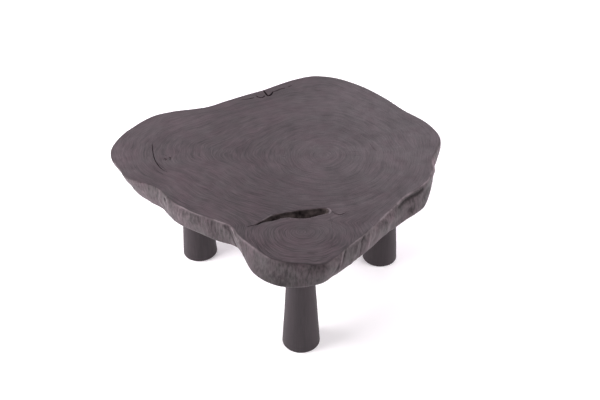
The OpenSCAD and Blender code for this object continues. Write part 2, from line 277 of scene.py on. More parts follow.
# The top's surface: unevenness as (height, size, seed), its rough mean, and the grid of its points
UNEVENNESS = [(0.35, 140, 5), (0.12, 45, 6)]
MEAN_UNEVENNESS = 0.5
GRID = 6
GRID_HALF = (504, 492)
# How far the grid keeps from the rim, the crack's lip and the marks, and the marks' points from rim and lip
RIM_CLEAR = 2.5
LIP_CLEAR = 2
MARK_CLEAR = 1
BESIDE_CLEAR = 0.6

LEG_PLACES = {
    "front": (69.3, -377.8), "left": (-259.4, 27.3), "right": (326.6, -5.7), "back": (89.3, 372.1),
}
FOOT_RADIUS = 55
LEG_TOP_RADIUS = 36
FOOT_ROUND = 2
FOOT_ROUND_ROWS = 6
LEG_SIDES = 96
LEG_ROWS = 40
LEG_FIRST_ROW = 0.02
# Radius and end of the bolt's hole in the leg, and of the cone at its end
BOLT_HOLE = (5.05, 267)
BOLT_HOLE_CONE = (2.02, 257)
PAD_RADIUS = 49
PAD_SIDES = 72
# The pad's edge as (inset, height)
PAD_EDGE = [(1, 0), (0.3, 0.3), (0, 1), (0, 2), (0.3, 2.7), (1, PAD_THICKNESS)]
FITTINGS = ("hanger_bolt", "mounting_plate", "plate_nut", "plate_screws")

# Pockets for the fittings in the slab's underside
RECESS_RADIUS = 32.25
RECESS_TOP = 315
RECESS_SIDES = 64
NUT_POCKET_RADIUS = 10.3
NUT_POCKET_TOP = 330.8
NUT_POCKET_SIDES = 32
SCREWS = 4
SCREW_CIRCLE_RADIUS = 23
SCREW_HOLE_RADIUS = 2.3
SCREW_HOLE_TOP = 342
SCREW_HOLE_SIDES = 12

# Each seed moves the noise by so much along x, y and z
SEED_STEPS = (17.3, 7.7, 3.1)


def spline(points, steps, closed=True):
    """Catmull-Rom spline through all points, each row with as many columns as a point has."""
    p = np.array(points, float)
    n = len(p)
    t = (np.arange(steps) / steps)[:, None]
    rows = []
    for i in range(n if closed else n - 1):
        if closed:
            a, b, c, d = (p[(i + k) % n] for k in (-1, 0, 1, 2))
        else:
            a, b, c, d = (p[min(max(i + k, 0), n - 1)] for k in (-1, 0, 1, 2))
        rows.append((2 * b + (c - a) * t + (2 * a - 5 * b + 4 * c - d) * t**2
                     + (3 * b - a - 3 * c + d) * t**3) / 2)
    if not closed:
        rows.append(p[-1:])
    return np.concatenate(rows)


def smooth(low, high, x):
    """0 up to the low value, 1 from the high value on, a soft rise between them."""
    t = np.clip((x - low) / (high - low), 0, 1)
    return t * t * (3 - 2 * t)


def bell(x, middle, half):
    """1 at the middle, falling off on both sides."""
    return np.exp(-(((x - middle) / half) ** 2))


def lumps(points, width, seed, width_to_height=1):
    """Soft noise from -1 to 1 at each point, with lumps of about this width."""
    shift = Vector([seed * step for step in SEED_STEPS])
    squeezed = points * np.array([1, 1, width_to_height])
    return np.array([noise.noise(Vector(p) / width + shift) for p in squeezed])


def drawn_rim():
    """The rim as [x, y, undercut], fitted to the slab's box."""
    rim = np.array(RIM, float)
    a = np.radians(rim[:, 0])
    line = spline(np.column_stack([rim[:, 1] * np.cos(a), rim[:, 1] * np.sin(a), rim[:, 2]]), RIM_STEPS)
    low, high = (np.array(c)[:2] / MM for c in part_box("slab"))
    drawn_low, drawn_high = line[:, :2].min(0), line[:, :2].max(0)
    line[:, :2] = low + (line[:, :2] - drawn_low) * (high - low) / (drawn_high - drawn_low)
    return line


def rim_from_pith():
    """Directions, and the rim's distance from the pith at each, exact and with its bends softened."""
    rim = RIM_PLAN - PITH
    directions = np.linspace(-180, 180, PITH_DIRECTIONS, endpoint=False)
    rim_directions = np.degrees(np.arctan2(rim[:, 1], rim[:, 0]))
    exact = np.interp(directions, rim_directions, np.hypot(*rim.T), period=360)
    window = np.hanning(SOFTENED)
    half = SOFTENED // 2
    wrapped = np.concatenate([exact[-half:], exact, exact[:half]])
    return directions, exact, np.convolve(wrapped, window / window.sum(), "valid")


RIM_LINE = drawn_rim()
RIM_PLAN = RIM_LINE[:, :2]
RIM_DIRECTIONS = np.degrees(np.arctan2(RIM_PLAN[:, 1], RIM_PLAN[:, 0])) % 360
RIM_ORDER = np.argsort(RIM_DIRECTIONS)
RIM_WAY = np.concatenate([[0], np.cumsum(np.hypot(*np.diff(RIM_PLAN, axis=0).T))])
RIM_FROM_PITH = rim_from_pith()
MARK_LINES = [(spline(line, MARK_STEPS, False), *form) for line, *form in TOP_MARKS]


def circle(centre, radius, sides):
    """Points round a circle, anticlockwise."""
    a = np.arange(sides) / sides * 2 * math.pi
    return np.column_stack([centre[0] + radius * np.cos(a), centre[1] + radius * np.sin(a)])


def inside(points, loop):
    """Which points lie inside the loop."""
    result = np.zeros(len(points), bool)
    x, y = points[:, 0], points[:, 1]
    for (x0, y0), (x1, y1) in zip(loop, np.roll(loop, -1, axis=0)):
        if y0 == y1:
            continue
        crosses = (y0 > y) != (y1 > y)
        result ^= crosses & (x < (x1 - x0) * (y - y0) / (y1 - y0) + x0)
    return result


def distance(points, line, closed=True):
    """Each point's distance to a line, and the line's share of its width at the nearest place."""
    line = np.array(line, float)
    ends = np.roll(line, -1, axis=0)
    pairs = list(zip(line, ends))
    if not closed:
        pairs = pairs[:-1]
    nearest = np.full(len(points), np.inf)
    width = np.ones(len(points))
    for a, b in pairs:
        way = b[:2] - a[:2]
        t = np.clip((points - a[:2]) @ way / max(way @ way, 1e-9), 0, 1)
        gap = points - a[:2] - t[:, None] * way
        far = (gap**2).sum(1)
        if len(a) > 2:
            width = np.where(far < nearest, a[2] + (b[2] - a[2]) * t, width)
        nearest = np.minimum(nearest, far)
    return np.sqrt(nearest), width


def outward(loop):
    """Unit steps away from the inside of a loop that runs anticlockwise."""
    along = np.roll(loop, -1, axis=0) - np.roll(loop, 1, axis=0)
    return np.column_stack([along[:, 1], -along[:, 0]]) / np.hypot(*along.T)[:, None]


class Shell:
    """A mesh in the making: points, faces and what each point knows for its material."""

    # For triangles: the kind that keeps only what lies inside, and how close points count as one
    INSIDE_ONLY = 1
    SAME_POINT = 1e-7

    def __init__(self, *facts):
        self.points = []
        self.faces = []
        self.slots = []
        self.facts = {fact: [] for fact in facts}

    def add(self, points, **facts):
        start = len(self.points)
        self.points.extend(np.asarray(points, float).tolist())
        for name, values in self.facts.items():
            values.extend(np.broadcast_to(facts.get(name, 0.0), len(points)).tolist())
        return np.arange(start, start + len(points))

    def plan(self, loop):
        """A loop's points as seen from above."""
        return np.array(self.points)[loop][:, :2]

    def bridge(self, loops, slot=0):
        """Bands of faces from each loop to the next one of as many points."""
        for one, other in zip(loops, loops[1:]):
            after, other_after = np.roll(one, -1), np.roll(other, -1)
            self.faces.extend(np.column_stack([one, after, other_after, other]).tolist())
            self.slots.extend([slot] * len(one))

    def cap(self, outer, holes=(), within=(), slot=0, down=False):
        """Fills the outer loop up to its holes with triangles, through the points within."""
        numbers = np.concatenate([outer, *holes, within]).astype(int)
        plan = self.plan(numbers)
        edges, start = [], 0
        for loop in (outer, *holes):
            n = len(loop)
            edges += [(start + i, start + (i + 1) % n) for i in range(n)]
            start += n
        corners = [Vector(p) for p in plan]
        found = geometry.delaunay_2d_cdt(corners, edges, [], self.INSIDE_ONLY, self.SAME_POINT)
        origin = np.array([o[0] for o in found[3]])
        faces = origin[np.array(found[2])]
        middles = plan[faces].mean(1)
        keep = np.ones(len(faces), bool)
        for hole in holes:
            keep &= ~inside(middles, self.plan(hole))
        faces = numbers[faces[keep]]
        turned = faces[:, ::-1] if down else faces
        self.faces.extend(turned.tolist())
        self.slots.extend([slot] * len(turned))

    def build(self, name, materials, sharp=35):
        mesh = bpy.data.meshes.new(name)
        mesh.from_pydata((np.array(self.points) * MM).tolist(), [], self.faces)
        for material in materials:
            mesh.materials.append(material)
        mesh.polygons.foreach_set("material_index", self.slots)
        mesh.polygons.foreach_set("use_smooth", [True] * len(self.faces))
        mesh.set_sharp_from_angle(angle=math.radians(sharp))
        for fact, values in self.facts.items():
            data = mesh.attributes.new(fact, "FLOAT", "POINT").data
            data.foreach_set("value", values)
        mesh.update()
        piece = bpy.data.objects.new(name, mesh)
        bpy.context.scene.collection.objects.link(piece)
        return piece


# Materials

class Tree:
    """Short calls for a material's nodes."""

    # Sockets of the mix node for colours, and the values between which most of a noise lies
    MIX_SHARE, MIX_ONE, MIX_OTHER, MIX_RESULT = 0, 6, 7, 2
    NOISE_LOW, NOISE_HIGH = 0.3, 0.7

    def __init__(self, name):
        self.material = bpy.data.materials.new(name)
        self.material.use_nodes = True
        self.nodes = self.material.node_tree.nodes
        self.links = self.material.node_tree.links
        self.shader = self.nodes["Principled BSDF"]
        self.place = self.node("ShaderNodeTexCoord", "Object")

    def put(self, socket, value):
        if isinstance(value, bpy.types.NodeSocket):
            self.links.new(value, socket)
        else:
            socket.default_value = value

    def node(self, kind, output=0, inputs=None, **settings):
        made = self.nodes.new(kind)
        for name, value in settings.items():
            setattr(made, name, value)
        for key, value in (inputs or {}).items():
            self.put(made.inputs[key], value)
        return made.outputs[output]

    def math(self, operation, *values):
        return self.node("ShaderNodeMath", inputs=dict(enumerate(values)), operation=operation)

    def add(self, first, *others):
        for other in others:
            first = self.math("ADD", first, other)
        return first

    def times(self, first, *others):
        for other in others:
            first = self.math("MULTIPLY", first, other)
        return first

    def vector(self, operation, *values):
        return self.node("ShaderNodeVectorMath", inputs=dict(enumerate(values)), operation=operation)

    def scaled(self, colour, factor):
        inputs = {"Vector": colour, "Scale": factor}
        return self.node("ShaderNodeVectorMath", inputs=inputs, operation="SCALE")

    def fact(self, name):
        return self.node("ShaderNodeAttribute", "Fac", attribute_name=name)

    def noise(self, scale=1.0, detail=2.0, rough=0.5, stretch=None):
        place = self.place if stretch is None else self.vector("MULTIPLY", self.place, stretch)
        inputs = {"Vector": place, "Scale": scale, "Detail": detail, "Roughness": rough}
        return self.node("ShaderNodeTexNoise", "Fac", inputs)

    def streaks(self, across, width, scale, detail=1.0, rough=0.5):
        """Noise that changes over this width of a value, and slowly with the place."""
        inputs = {"W": self.math("DIVIDE", across, width), "Scale": 1.0, "Detail": detail, "Roughness": rough,
                  "Vector": self.vector("MULTIPLY", self.place, (scale, scale, scale))}
        return self.node("ShaderNodeTexNoise", "Fac", inputs, noise_dimensions="4D")

    def span(self, value, low, high, new_low=0.0, new_high=1.0, kind="LINEAR"):
        inputs = dict(enumerate((value, low, high, new_low, new_high)))
        return self.node("ShaderNodeMapRange", inputs=inputs, interpolation_type=kind)

    def spread(self, value, new_low=0.0, new_high=1.0):
        """A noise's usual values, spread over a new span."""
        return self.span(value, self.NOISE_LOW, self.NOISE_HIGH, new_low, new_high)

    def mix(self, share, one, other):
        inputs = {self.MIX_SHARE: share, self.MIX_ONE: one, self.MIX_OTHER: other}
        return self.node("ShaderNodeMix", self.MIX_RESULT, inputs, data_type="RGBA")

    def bump(self, height, distance, normal=None):
        inputs = {"Height": height, "Distance": distance, "Strength": 1.0}
        if normal is not None:
            inputs["Normal"] = normal
        return self.node("ShaderNodeBump", inputs=inputs)

    def finish(self, colour, roughness, normal=None, **sockets):
        self.put(self.shader.inputs["Base Color"], colour)
        self.put(self.shader.inputs["Roughness"], roughness)
        if normal is not None:
            self.put(self.shader.inputs["Normal"], normal)
        for name, value in sockets.items():
            self.shader.inputs[name.replace("_", " ")].default_value = value
        return self.material


def shade(red, green, blue):
    """A colour given in the numbers of a picture, from 0 to 255."""
    return (*Color((red / 255, green / 255, blue / 255)).from_srgb_to_scene_linear(), 1)


TOP_DARK = shade(28, 16, 21)
TOP_LIGHT = shade(72, 58, 63)
WALL_DARK = shade(41, 35, 37)
WALL_LIGHT = shade(76, 67, 70)
# Pale colour of wear and painted highlight on the arris and the crack's lip
PALE_WEAR_AND_HIGHLIGHT = shade(112, 101, 105)
# Colours of the crack's inside, painted dark as its shade; the darker one also colours marks and painted
# shade
CRACK_DARK = shade(22, 18, 19)
CRACK_LIGHT = shade(84, 74, 74)
LEG_DARK = shade(38, 32, 35)
LEG_LIGHT = shade(54, 47, 50)
FELT_DARK = shade(20, 19, 20)
FELT_LIGHT = shade(52, 50, 51)
STEEL_DARK = shade(150, 150, 146)
STEEL_LIGHT = shade(186, 186, 184)
GREEN_TINT = (0.94, 1.025, 0.98, 1)
PURPLE_TINT = (1.06, 0.975, 1.02, 1)
FLOOR_DARK = (0.86, 0.82, 0.86, 1)
FLOOR_LIGHT = (0.9, 0.87, 0.89, 1)


def ring_number(t):
    """The number of the ring at each place, a little wavy, and 1 where the front lobe's own rings lie."""
    ring_x, ring_y = t.fact("ring_x"), t.fact("ring_y")
    trunk = t.math("SQRT", t.add(t.times(ring_x, ring_x), t.times(ring_y, ring_y)))
    from_front = t.vector("SUBTRACT", t.vector("MULTIPLY", t.place, (1 / MM, 1 / MM, 0)), (*FRONT_HEART, 0))
    reach = t.vector("MAXIMUM", t.vector("MULTIPLY", from_front, FRONT_RINGS_RIGHT_BACK),
                     t.vector("MULTIPLY", from_front, FRONT_RINGS_LEFT_FRONT))
    parts = t.nodes.new("ShaderNodeSeparateXYZ")
    t.put(parts.inputs[0], reach)
    powers = [t.math("POWER", parts.outputs[axis], FRONT_SQUARENESS) for axis in ("X", "Y")]
    front = t.math("POWER", t.add(*powers), 1 / FRONT_SQUARENESS)
    front = t.math("MULTIPLY_ADD", front, FRONT_RING_STEP, FRONT_FIRST_RING)
    ring = t.math("SMOOTH_MIN", trunk, front, RINGS_BLEND)
    waves = t.spread(t.noise(scale=8, detail=1), -7, 7)
    ripples = t.spread(t.noise(scale=34), -1.4, 1.4)
    in_front = t.span(t.math("SUBTRACT", trunk, front), -RINGS_BLEND, RINGS_BLEND)
    return t.add(ring, waves, ripples), in_front


def slab_wood():
    """Black stained wood: growth rings on the top, upright fibres with painted light and shade on the wall,
    and the cracks painted dark inside as shade.
    """
    t = Tree("stained_slab_wood")
    top = t.fact("top")
    edge = t.fact("edge")
    deep = t.fact("deep")
    mark = t.fact("mark")
    pale = t.fact("pale")

    # Ring lines that come and go along their way
    ring, in_front = ring_number(t)
    lines = t.streaks(ring, width=3.4, scale=5, detail=3, rough=0.75)
    crisp = t.span(t.streaks(ring, width=5.6, scale=4, detail=1.5), 0.34, 0.5, -1, 0.3, "SMOOTHSTEP")
    fine = t.streaks(ring, width=1.3, scale=30)
    broad = t.streaks(ring, width=19, scale=5, detail=1.5)
    patches = t.noise(scale=7, detail=3)
    clear = t.span(t.noise(scale=13), 0.38, 0.6, 0.6, 1.2)
    tone = t.add(
        t.math("MULTIPLY_ADD", t.times(t.spread(lines, -1, 1), clear), 0.23, 0.37),
        t.times(crisp, clear, t.span(in_front, 0, 1, 0.14, 0.07)),
        t.times(t.spread(fine, -1, 1), t.span(in_front, 0, 1, 0.3, 0.42)),
        t.spread(broad, -0.06, 0.06),
        t.spread(patches, -0.15, 0.15))
    top_colour = t.mix(tone, TOP_DARK, TOP_LIGHT)

    # Upright fibres of the barked wall, mottled
    fibres = t.noise(detail=3, rough=0.65, stretch=(180, 180, 45))
    broad_fibres = t.noise(detail=3, rough=0.6, stretch=(26, 26, 9))
    mottle = t.noise(scale=60, detail=2.5, rough=0.55)
    wall_tone = t.add(t.spread(fibres), t.spread(broad_fibres, -0.3, 0.3), t.spread(mottle, -0.2, 0.2))
    # The wall's colour is scaled by painted light and shade by direction, and painted darker in its hollows
    # as shade
    wall_colour = t.scaled(t.mix(wall_tone, WALL_DARK, WALL_LIGHT), pale)
    colour = t.mix(top, wall_colour, top_colour)

    # Patches of purple and of green in the stain
    tint = t.mix(t.span(t.noise(scale=16, detail=3), 0.36, 0.64), GREEN_TINT, PURPLE_TINT)
    colour = t.vector("MULTIPLY", colour, tint)

    # The arris and the crack's lip are lighter here and there, as wear and painted highlight, and the cracks
    # are painted dark inside as shade
    wear_and_highlight = t.times(edge, t.span(t.noise(scale=40, detail=3), 0.38, 0.6, 0.3, 0.9))
    colour = t.mix(wear_and_highlight, colour, PALE_WEAR_AND_HIGHLIGHT)
    crack_painted_dark = t.mix(t.spread(t.noise(scale=60, detail=3)), CRACK_DARK, CRACK_LIGHT)
    colour = t.mix(deep, colour, t.scaled(crack_painted_dark, pale))
    # Marks, and painted shade below the crack's lip and along the top's rim, darken the colour
    colour = t.mix(mark, colour, CRACK_DARK)

    roughness = t.add(
        t.spread(t.noise(scale=30, detail=3), 0.4, 0.5),
        t.spread(lines, -0.03, 0.03),
        t.math("MULTIPLY_ADD", top, -0.12, 0.12))
    roughness = t.math("MAXIMUM", roughness, t.times(deep, 0.85))
    ring_height = t.times(t.add(lines, t.times(fine, 0.4)), top)
    fibre_height = t.times(fibres, t.math("SUBTRACT", 1, top))
    normal = t.bump(t.add(ring_height, fibre_height), 0.0003)
    normal = t.bump(t.noise(scale=700), 0.00008, normal)
    return t.finish(colour, roughness, normal, Specular_IOR_Level=0.3)


def under_wood():
    """The flat underside, planed and stained thinly."""
    t = Tree("stained_underside")
    fibres = t.noise(detail=3, rough=0.6, stretch=(35, 220, 60))
    blotches = t.noise(scale=8, detail=3)
    tone = t.add(t.spread(fibres, 0.2, 0.8), t.spread(blotches, -0.3, 0.3))
    colour = t.mix(tone, WALL_DARK, LEG_LIGHT)
    return t.finish(colour, t.spread(blotches, 0.6, 0.75), t.bump(fibres, 0.0004))


def leg_wood():
    """The turned legs: fibres along the leg, faint turning marks round it, matt black stain."""
    t = Tree("stained_leg_wood")
    fibres = t.noise(detail=3, rough=0.6, stretch=(260, 260, 11))
    broad = t.noise(stretch=(45, 45, 6))
    turning = t.noise(stretch=(8, 8, 900))
    tone = t.add(t.spread(fibres, 0.25, 0.75), t.spread(broad, -0.25, 0.25))
    colour = t.mix(tone, LEG_DARK, LEG_LIGHT)
    normal = t.bump(t.add(fibres, t.times(turning, 0.4)), 0.00015)
    return t.finish(colour, t.spread(broad, 0.52, 0.62), normal, Specular_IOR_Level=0.3)


def felt():
    t = Tree("dark_felt")
    hairs = t.noise(scale=900, detail=4, rough=0.7)
    colour = t.mix(t.spread(hairs), FELT_DARK, FELT_LIGHT)
    return t.finish(colour, roughness=0.95, normal=t.bump(hairs, 0.0006))


def steel():
    t = Tree("zinc_steel")
    brushed = t.noise(stretch=(400, 400, 1500))
    stains = t.noise(scale=120, detail=3)
    colour = t.mix(t.spread(stains), STEEL_DARK, STEEL_LIGHT)
    return t.finish(colour, t.spread(stains, 0.28, 0.42), t.bump(brushed, 0.00003), Metallic=1.0)


# The slab

def by_direction(table):
    """A value for each point of the rim out of a table of (direction, value)."""
    return np.interp(RIM_DIRECTIONS, *np.transpose(table))


def around(table, angles):
    """Values at these angles out of a closed table of (direction, value), rounded by a spline."""
    steps = HALF_WAY_STEPS
    wrapped = [(d - 360, v) for d, v in table[-2:]] + table + [(d + 360, v) for d, v in table[:2]]
    rows = spline(wrapped, steps, closed=False)[2 * steps:(2 + len(table)) * steps]
    return np.interp(angles, rows[:, 0], rows[:, 1], period=360)


def ring_places(plan):
    """Where each point would lie among round rings: round at the pith, like the rim outside."""
    away = plan - PITH
    reach = np.hypot(away[:, 0], away[:, 1])
    angle = np.degrees(np.arctan2(away[:, 1], away[:, 0]))
    directions, exact, soft = RIM_FROM_PITH
    exact_here = np.interp(angle, directions, exact, period=360)
    soft_here = np.interp(angle, directions, soft, period=360)
    middle = around(HALF_WAY, angle) * LAST_RING / HALF_WAY_RING
    low, high = ROUND_RING / LAST_RING, HALF_WAY_RING / LAST_RING
    share = reach / LAST_RING
    for _ in range(RING_GUESSES):
        rim_like = soft_here + (exact_here - soft_here) * smooth(RIM_BENDS, 1, share)
        outer = middle + (rim_like - middle) * smooth(high, RIM_LIKE, share)
        radius = LAST_RING + (outer - LAST_RING) * smooth(low, high, share)
        share = GUESS_KEPT * share + (1 - GUESS_KEPT) * reach / radius
    return away * (share * LAST_RING / np.maximum(reach, 1e-6))[:, None]


def wall_rows():
    """The wall as rows of heights above the underside and insets towards the middle, one per rim point."""
    top_round = by_direction(TOP_ROUNDING)
    lean = by_direction(UPPER_LEAN)
    widest = by_direction(WIDEST)
    undercut = RIM_LINE[:, 2]
    quarter = np.radians(np.linspace(0, 90, ROUNDING_ROWS))
    flat = np.zeros(len(RIM_LINE))
    top_of_wall = THICKNESS - top_round
    rows = [(flat + UNDER_ROUND * (1 - math.cos(a)), flat + UNDER_ROUND * (1 - math.sin(a))) for a in quarter]
    for share in np.arange(1, WALL_ROWS) / WALL_ROWS:
        rows.append((UNDER_ROUND + (top_of_wall - UNDER_ROUND) * share, flat))
    rows += [(THICKNESS - top_round * (1 - math.sin(a)), top_round * (1 - math.cos(a))) for a in quarter]
    made = []
    for height, rounding in rows:
        share = height / THICKNESS
        below = np.maximum(widest - share, 0) / widest
        above = np.maximum(share - widest, 0) / (1 - widest)
        inset = rounding + WALL_SWELL * (below + above) ** 2 + undercut * below**UNDERCUT_POWER
        inset = inset + lean * smooth(*LEAN_SPAN, share)
        made.append((height, inset))
    return made


def drawn_on_wall(lines, height):
    """Sum of the lines' values at each point of one row of the wall, falling off beside each line."""
    here = np.column_stack([RIM_WAY, height])
    total = np.zeros(len(here))
    for line, half, value in lines:
        drawn = np.array(line) * [1, THICKNESS]
        drawn[:, 0] = np.interp(drawn[:, 0], RIM_DIRECTIONS[RIM_ORDER], RIM_WAY[RIM_ORDER])
        total += value * bell(distance(here, drawn, closed=False)[0], 0, half)
    return total


def wall_relief(points, height):
    """How far flutes, folds and hollows lie inside the smooth wall."""
    share = height / THICKNESS
    fade = smooth(0, RELIEF_FOOT, share) * (1 - smooth(RELIEF_RIM, 1, share))
    flutes = sum(depth * lumps(points, *form) for depth, *form in FLUTES)
    short = by_direction(SHORT_FLUTES) * smooth(*SHORT_FLUTE_SPAN, share)
    flutes += short * lumps(points, *SHORT_FLUTE_LUMPS)
    folds = drawn_on_wall(WALL_MARKS, height)
    return flutes * (FLUTES_KEPT + (1 - FLUTES_KEPT) * fade) + folds * (FOLDS_KEPT + (1 - FOLDS_KEPT) * fade)


def top_marks(plan):
    """Depth and darkness of checks, hairlines and pits at each point of the top; darkness below 0 is a pale
    line of wear and painted highlight along the crack's lip.
    """
    depth, dark = np.zeros(len(plan)), np.zeros(len(plan))
    for line, half, deep, darkness in MARK_LINES:
        far, width = distance(plan, line, closed=False)
        share = np.clip(1 - far / (half * width), 0, 1)
        depth = np.maximum(depth, deep * share)
        mark = darkness * smooth(0, MARK_DARK_FROM, share)
        dark = np.where(abs(mark) > abs(dark), mark, dark)
    return depth, dark


def top_height(plan):
    """Height of the top's surface below its highest level, hand planed and a little uneven."""
    points = np.column_stack([plan, np.zeros(len(plan))])
    uneven = sum(height * (1 + lumps(points, size, seed)) for height, size, seed in UNEVENNESS)
    return -uneven - top_marks(plan)[0]


def beside_marks():
    """Points in rows along each mark of the top, and a few past its ends."""
    found = []
    for line, half, _, _ in MARK_LINES:
        along = np.gradient(line[:, :2], axis=0)
        along /= np.hypot(*along.T)[:, None]
        across = np.column_stack([-along[:, 1], along[:, 0]])
        width = half * line[:, 2:]
        found += [line[:, :2] + across * width * row for row in MARK_ROWS]
        found += [line[:1, :2] - along[:1] * width[:1] * row for row in MARK_ENDS]
        found += [line[-1:, :2] + along[-1:] * width[-1:] * row for row in MARK_ENDS]
    return np.concatenate(found)


def crack_loops(shell):
    """Loops of the open crack from its rounded lip down to its floor."""
    outline = spline(OPEN_CRACK, CRACK_STEPS)[::-1]
    out = outward(outline)
    wide = smooth(*CRACK_ROUGH_SPAN, outline[:, 0])
    loops = []
    for k in range(CRACK_LIP_ROWS):
        share = k / (CRACK_LIP_ROWS - 1)
        a = math.radians(90 * share)
        plan = outline + out * CRACK_LIP * (1 - math.sin(a))
        level = TOP + top_height(plan) - CRACK_LIP * (1 - math.cos(a))
        places = ring_places(plan)
        # The lip is made pale as wear and painted highlight
        loops.append(shell.add(
            np.column_stack([plan, level]), top=1, edge=CRACK_LIP_WEAR_AND_HIGHLIGHT * math.sin(2 * a),
            deep=smooth(CRACK_PAINTED_DARK_START, 1, share), pale=1, ring_x=places[:, 0], ring_y=places[:, 1]))
    # Painted light on the crack's wall at its right end
    pale = CRACK_PALE + CRACK_RIGHT_END_PAINTED_LIGHT * smooth(*CRACK_PAINTED_LIGHT_SPAN, outline[:, 0])
    for share in np.linspace(CRACK_FIRST_ROW, 1, CRACK_WALL_ROWS):
        level = np.full(len(outline), TOP - CRACK_LIP - (CRACK_DEPTH - CRACK_LIP) * share)
        plan = CRACK_MIDDLE + (outline - CRACK_MIDDLE) * (1 + (CRACK_TAPER - 1) * share)
        rough = lumps(np.column_stack([plan, level]), *CRACK_LUMPS)
        points = np.column_stack([plan + out * (rough * wide)[:, None], level - MEAN_UNEVENNESS])
        # Painted shade below the crack's lip
        mark = CRACK_SHADE * (1 - smooth(*CRACK_SHADE_SPAN, share))
        loops.append(shell.add(points, deep=1, mark=mark, pale=pale))
    return loops


def wall_loops(shell):
    """Loops of the wall from the underside's rim up to the top's rim."""
    radial = RIM_PLAN / np.hypot(*RIM_PLAN.T)[:, None]
    box_low, box_high = RIM_PLAN.min(0), RIM_PLAN.max(0)
    loops = []
    rows = wall_rows()
    for k, (height, inset) in enumerate(rows):
        plan = RIM_PLAN - radial * inset[:, None]
        relief = wall_relief(np.column_stack([plan, UNDERSIDE + height]), height)
        plan = np.clip(plan - radial * relief[:, None], box_low, box_high)
        rise = (k + ROUNDING_ROWS - len(rows)) / (ROUNDING_ROWS - 1)
        at_top = smooth(TOP_START, 1, rise)
        dark = top_marks(plan)[1] * at_top
        # Painted shade in the wall's hollows and painted highlight on its ridges
        fold_shade_and_highlight = drawn_on_wall(WALL_PAINTED_SHADE_AND_HIGHLIGHT, height) * (1 - at_top)
        # A dark line of painted shade along the top's rim
        rim_painted_shade = by_direction(ARRIS_PAINTED_SHADE) * bell(rise, *ARRIS_DARK_LINE)
        # A pale line of wear and painted highlight on the arris
        edge = by_direction(ARRIS_WEAR_AND_HIGHLIGHT) * bell(rise, *ARRIS_LIGHT_LINE)
        # Hollows of the wall are painted darker as shade
        shading = np.clip(relief, -RELIEF_SHADE_DEEPEST, RELIEF_SHADE_DEEPEST) * RELIEF_SHADE
        places = ring_places(plan)
        loops.append(shell.add(
            np.column_stack([plan, UNDERSIDE + height + top_height(plan) * at_top]), top=at_top,
            edge=np.maximum(edge, np.maximum(-fold_shade_and_highlight, -dark)),
            mark=np.maximum(np.maximum(dark, fold_shade_and_highlight), rim_painted_shade),
            pale=by_direction(WALL_PAINTED_LIGHT) * (1 - shading), ring_x=places[:, 0], ring_y=places[:, 1]))
    return loops


def cap_top(shell, rim, lip):
    """The top from the rim to the crack's lip, with close points along its marks."""
    half_x, half_y = GRID_HALF
    x, y = np.meshgrid(np.arange(-half_x, half_x + 1, GRID), np.arange(-half_y, half_y + 1, GRID))
    x = x + (np.arange(x.shape[0]) % 2)[:, None] * GRID / 2
    rim_plan, lip_plan = shell.plan(rim), shell.plan(lip)

    def between(plan, rim_clear, lip_clear):
        plan = plan[inside(plan, rim_plan) & ~inside(plan, lip_plan)]
        clear = (distance(plan, rim_plan)[0] > rim_clear) & (distance(plan, lip_plan)[0] > lip_clear)
        return plan[clear]

    plan = between(np.column_stack([x.ravel(), y.ravel()]), RIM_CLEAR, LIP_CLEAR)
    for line, half, _, _ in MARK_LINES:
        plan = plan[distance(plan, line, closed=False)[0] > MARK_ROWS[-1] * half + MARK_CLEAR]
    plan = np.concatenate([plan, between(beside_marks(), BESIDE_CLEAR, BESIDE_CLEAR)])
    places = ring_places(plan)
    # Marks darken the top; the pale ones are wear and painted highlight along the crack's lip
    dark = top_marks(plan)[1]
    within = shell.add(
        np.column_stack([plan, TOP + top_height(plan)]), top=1, mark=np.maximum(dark, 0),
        edge=np.maximum(-dark, 0), ring_x=places[:, 0], ring_y=places[:, 1])
    shell.cap(rim, [lip], within)


def pocket(shell, place):
    """What one leg's fittings take out of the underside, from its rim inwards. Returns the rim."""
    def loop(centre, radius, level, sides):
        return shell.add(np.column_stack([circle(centre, radius, sides), np.full(sides, level)]))

    def hole(centre, radius, end, sides):
        start = loop(centre, radius, RECESS_TOP, sides)
        roof = loop(centre, radius, end, sides)
        shell.bridge([roof, start], 1)
        shell.cap(roof, slot=1, down=True)
        return start

    rim = loop(place, RECESS_RADIUS, UNDERSIDE, RECESS_SIDES)
    roof = loop(place, RECESS_RADIUS, RECESS_TOP, RECESS_SIDES)
    shell.bridge([roof, rim], 1)
    holes = [hole(place, NUT_POCKET_RADIUS, NUT_POCKET_TOP, NUT_POCKET_SIDES)]
    for centre in circle(place, SCREW_CIRCLE_RADIUS, 2 * SCREWS)[1::2]:
        holes.append(hole(centre, SCREW_HOLE_RADIUS, SCREW_HOLE_TOP, SCREW_HOLE_SIDES))
    shell.cap(roof, holes, slot=1, down=True)
    return rim


def make_slab():
    shell = Shell("top", "edge", "deep", "mark", "pale", "ring_x", "ring_y")
    wall = wall_loops(shell)
    shell.bridge(wall)
    crack = crack_loops(shell)
    shell.bridge(crack)
    shell.cap(crack[-1])
    cap_top(shell, wall[-1], crack[0])
    pockets = [pocket(shell, place) for place in LEG_PLACES.values()]
    shell.cap(wall[0], pockets, slot=1, down=True)
    return shell.build("live_edge_slab", [slab_wood(), under_wood()])


slab = make_slab()
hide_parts("slab")
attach(slab, "root")


# Legs, pads and fittings

